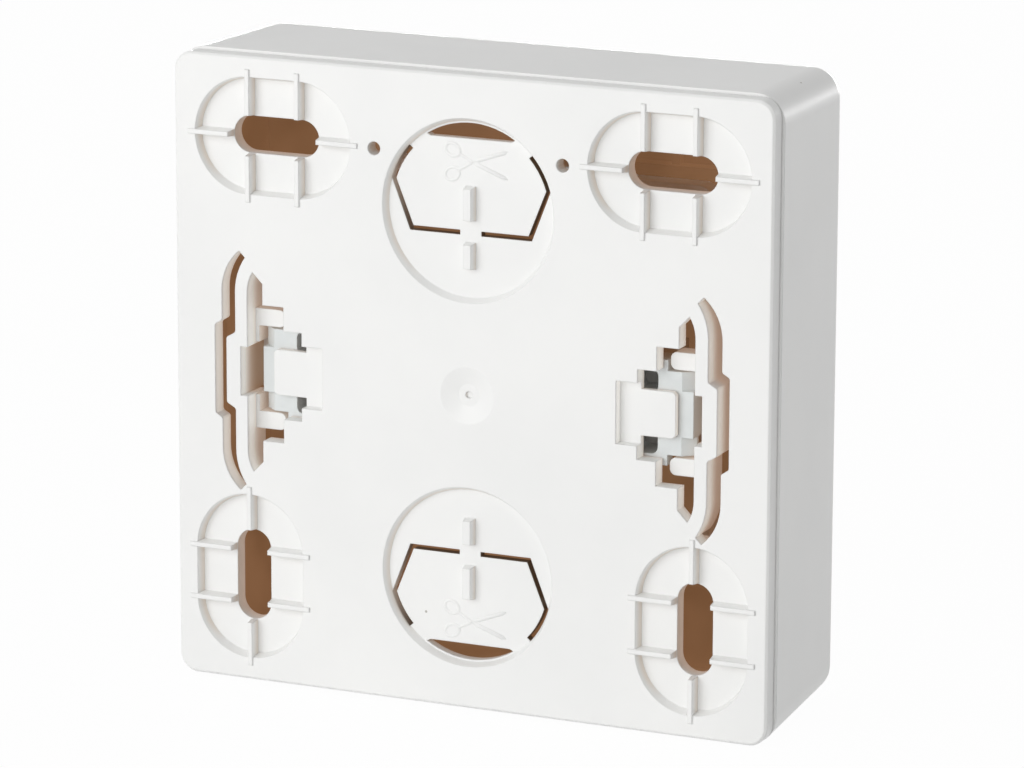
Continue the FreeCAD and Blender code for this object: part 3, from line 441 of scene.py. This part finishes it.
# the circuit board: a green mask with slightly wavy tracks under it, sizes in mm
boardSettings = {
    "mask": (0.012, 0.105, 0.045, 1),
    "track": (0.03, 0.17, 0.075, 1),
    "pitch": 1.27,
    "width": 0.42,
    "waveScale": 0.12,
    "waveDetail": 1.0,
    "wave": 6.0,
    "roughness": 0.25,
    "roughScale": 2.0,
    "spread": 0.1,
    "bumpStrength": 0.5,
    "bumpHeight": 0.03,
}


def boardLaminate():
    look = boardSettings
    made, flow = newMaterial("boardLaminate")
    spot, across, depth, high = place(flow)
    wavy = across + noise(spot, look["waveScale"], look["waveDetail"]) * look["wave"]
    tracks = wavy.calc("PINGPONG", wavy, look["pitch"]).above(look["pitch"] - look["width"])
    colour = tracks.mixed(look["mask"], look["track"])
    rough = wavering(noise(spot, look["roughScale"]), look)
    finishSurface(flow, colour, rough, bumped(flow, tracks, look))
    return made


flapWhite = whiteMoulding("flapWhite", noTones)
grey = plainMoulding("greyMoulding")
steel = metal("screwSteel")
finishes = {
    "base_plate": whiteMoulding("plateWhite", plateTones),
    "hood": whiteMoulding("hoodWhite", hoodTones),
    "centre_plate": whiteMoulding("centreWhite", centreTones),
    "dust_flap": flapWhite,
    "carrier": grey,
    "cable_saddle": grey,
    "jack_housing": plainMoulding("darkMoulding"),
    "terminal_block": plainMoulding("blockMoulding"),
    "jack_shield": metal("shieldSheet"),
    "jack_contacts": metal("contactWire"),
    "terminal_contacts": metal("bladeMetal"),
    "centre_screw": steel,
    "board_screws": steel,
    "circuit_board": boardLaminate(),
}
for name, item in nodes.items():
    kind = name.removesuffix("_left").removesuffix("_right")
    item.data.materials.clear()
    item.data.materials.append(finishes[kind])
print("materials on", len(nodes), "nodes")


# the raised scissors mark on each knock-out, drawn in mm as the camera sees it: right and up from the
# plate's middle, on the top one; the bottom one is its mirror image
cutMarkSettings = {
    "floor": 1.2,
    "stroke": 0.3,
    "strokeRings": 2,
    "sunk": 0.2,
    "crossing": (0.2, 29.1),
    "rings": ((-2.45, 30.45), (-2.5, 27.45)),
    "ringSize": (1.0, 0.78),
    "ringTurn": (-0.45, 0.45),
    "ringSteps": 20,
    "tips": ((4.75, 27.35), (4.75, 30.7)),
    "bladeWidth": 0.12,
    "bladeStart": 0.7,
    "bladeTip": 0.3,
}


def ringLoop(middle, tilt, look):
    wide, tall = look["ringSize"]
    loop = []
    for step in range(look["ringSteps"]):
        angle = 2 * pi * step / look["ringSteps"]
        point = Vector((wide * cos(angle), tall * sin(angle)))
        point.rotate(Matrix.Rotation(tilt, 2))
        loop.append(middle + point)
    return loop


def bladeLoop(crossing, end, look):
    ahead = (end - crossing).normalized()
    aside = Vector((-ahead.y, ahead.x)) * (look["bladeWidth"] / 2)
    start, shoulder = crossing + ahead * look["bladeStart"], end - ahead * look["bladeTip"]
    return [crossing, start + aside, shoulder + aside, end, shoulder - aside, start - aside]


def markStrokes(look):
    # lists of points, with a note whether each list is a closed loop
    crossing = Vector(look["crossing"])
    strokes = []
    for ring, tilt, tip in zip(look["rings"], look["ringTurn"], look["tips"]):
        middle = Vector(ring)
        handle = (crossing - middle).normalized() * look["ringSize"][0]
        strokes.append((ringLoop(middle, tilt, look), True))
        strokes.append(([middle + handle, crossing], False))
        strokes.append((bladeLoop(crossing, Vector(tip), look), True))
    return strokes


def cutMark(name, sign):
    look = cutMarkSettings
    line = bpy.data.curves.new(name + "Line", "CURVE")
    line.dimensions = "3D"
    line.bevel_depth = look["stroke"] * mm
    line.bevel_resolution = look["strokeRings"]
    line.use_fill_caps = True
    depth = look["floor"] + look["sunk"]
    for points, closed in markStrokes(look):
        spline = line.splines.new("POLY")
        spline.points.add(len(points) - 1)
        for target, point in zip(spline.points, points):
            target.co = (-point.x * mm, -depth * mm, sign * point.y * mm, 1)
        spline.use_cyclic_u = closed
    drawn = bpy.data.objects.new(name + "Line", line)
    bpy.context.collection.objects.link(drawn)
    mesh = bpy.data.meshes.new_from_object(drawn.evaluated_get(bpy.context.evaluated_depsgraph_get()))
    bpy.data.objects.remove(drawn)
    mesh.materials.clear()
    mesh.materials.append(flapWhite)
    piece = bpy.data.objects.new(name, mesh)
    bpy.context.collection.objects.link(piece)
    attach(piece, "socket")


cutMark("cutMarkTop", 1)
cutMark("cutMarkBottom", -1)
print("cut marks made")


# pale floor and soft studio light; the lamps' places are in mm, their sizes and the floor's in metres
lightSettings = {
    "world": 0.49,
    "floor": (0.96, 0.96, 0.96, 1),
    "floorSize": 6.0,
    "floorWhite": 0.97,
    "lamps": {
        "key": {"from": (400.0, 900.0, 220.0), "size": (0.85, 0.85), "power": 6.65},
        "front": {"from": (250.0, -1400.0, -5.0), "size": (1.2, 0.06), "power": 11.0},
    },
}

world = bpy.data.worlds.new("studio")
bpy.context.scene.world = world
world.use_nodes = True
world.node_tree.nodes.clear()
air = Wire(world.node_tree)


def whiteRays(flow):
    # rays that look straight at the background, or see it in metal or glass
    path = flow.node("ShaderNodeLightPath").socket.node
    kinds = ("Is Camera Ray", "Is Glossy Ray", "Is Transmission Ray")
    direct, glossy, through = (Wire(flow.tree, path.outputs[kind]) for kind in kinds)
    return direct.orMore(glossy).orMore(through)


strength = whiteRays(air) * (1.0 - lightSettings["world"]) + lightSettings["world"]
sky = air.node("ShaderNodeBackground", inputs={"Color": pureWhite, "Strength": strength})
air.node("ShaderNodeOutputWorld", inputs={"Surface": sky})

half = lightSettings["floorSize"] / 2
level = cadBox[0][2]
corners = [(across * half, along * half, level) for across, along in ((-1, -1), (1, -1), (1, 1), (-1, 1))]
floorMesh = bpy.data.meshes.new("floor")
floorMesh.from_pydata(corners, [], [(0, 1, 2, 3)])
floor = bpy.data.objects.new("floor", floorMesh)
bpy.context.collection.objects.link(floor)
floorMaterial, flow = newMaterial("floor")
plain = flow.node("ShaderNodeBsdfDiffuse", inputs={"Color": lightSettings["floor"]})
bright = flow.node("ShaderNodeEmission", inputs={"Color": pureWhite, "Strength": 1.0})
share = whiteRays(flow) * lightSettings["floorWhite"]
both = flow.node("ShaderNodeMixShader", inputs={0: share, 1: plain, 2: bright})
flow.node("ShaderNodeOutputMaterial", inputs={"Surface": both})
floorMesh.materials.append(floorMaterial)

for name, look in lightSettings["lamps"].items():
    lampData = bpy.data.lights.new(name, "AREA")
    lampData.shape = "RECTANGLE"
    lampData.size, lampData.size_y = look["size"]
    lampData.energy = look["power"]
    lamp = bpy.data.objects.new(name, lampData)
    bpy.context.collection.objects.link(lamp)
    source = Vector(look["from"]) * mm
    lamp.matrix_world = Matrix.Translation(source) @ source.to_track_quat("Z", "Y").to_matrix().to_4x4()
print("studio set")
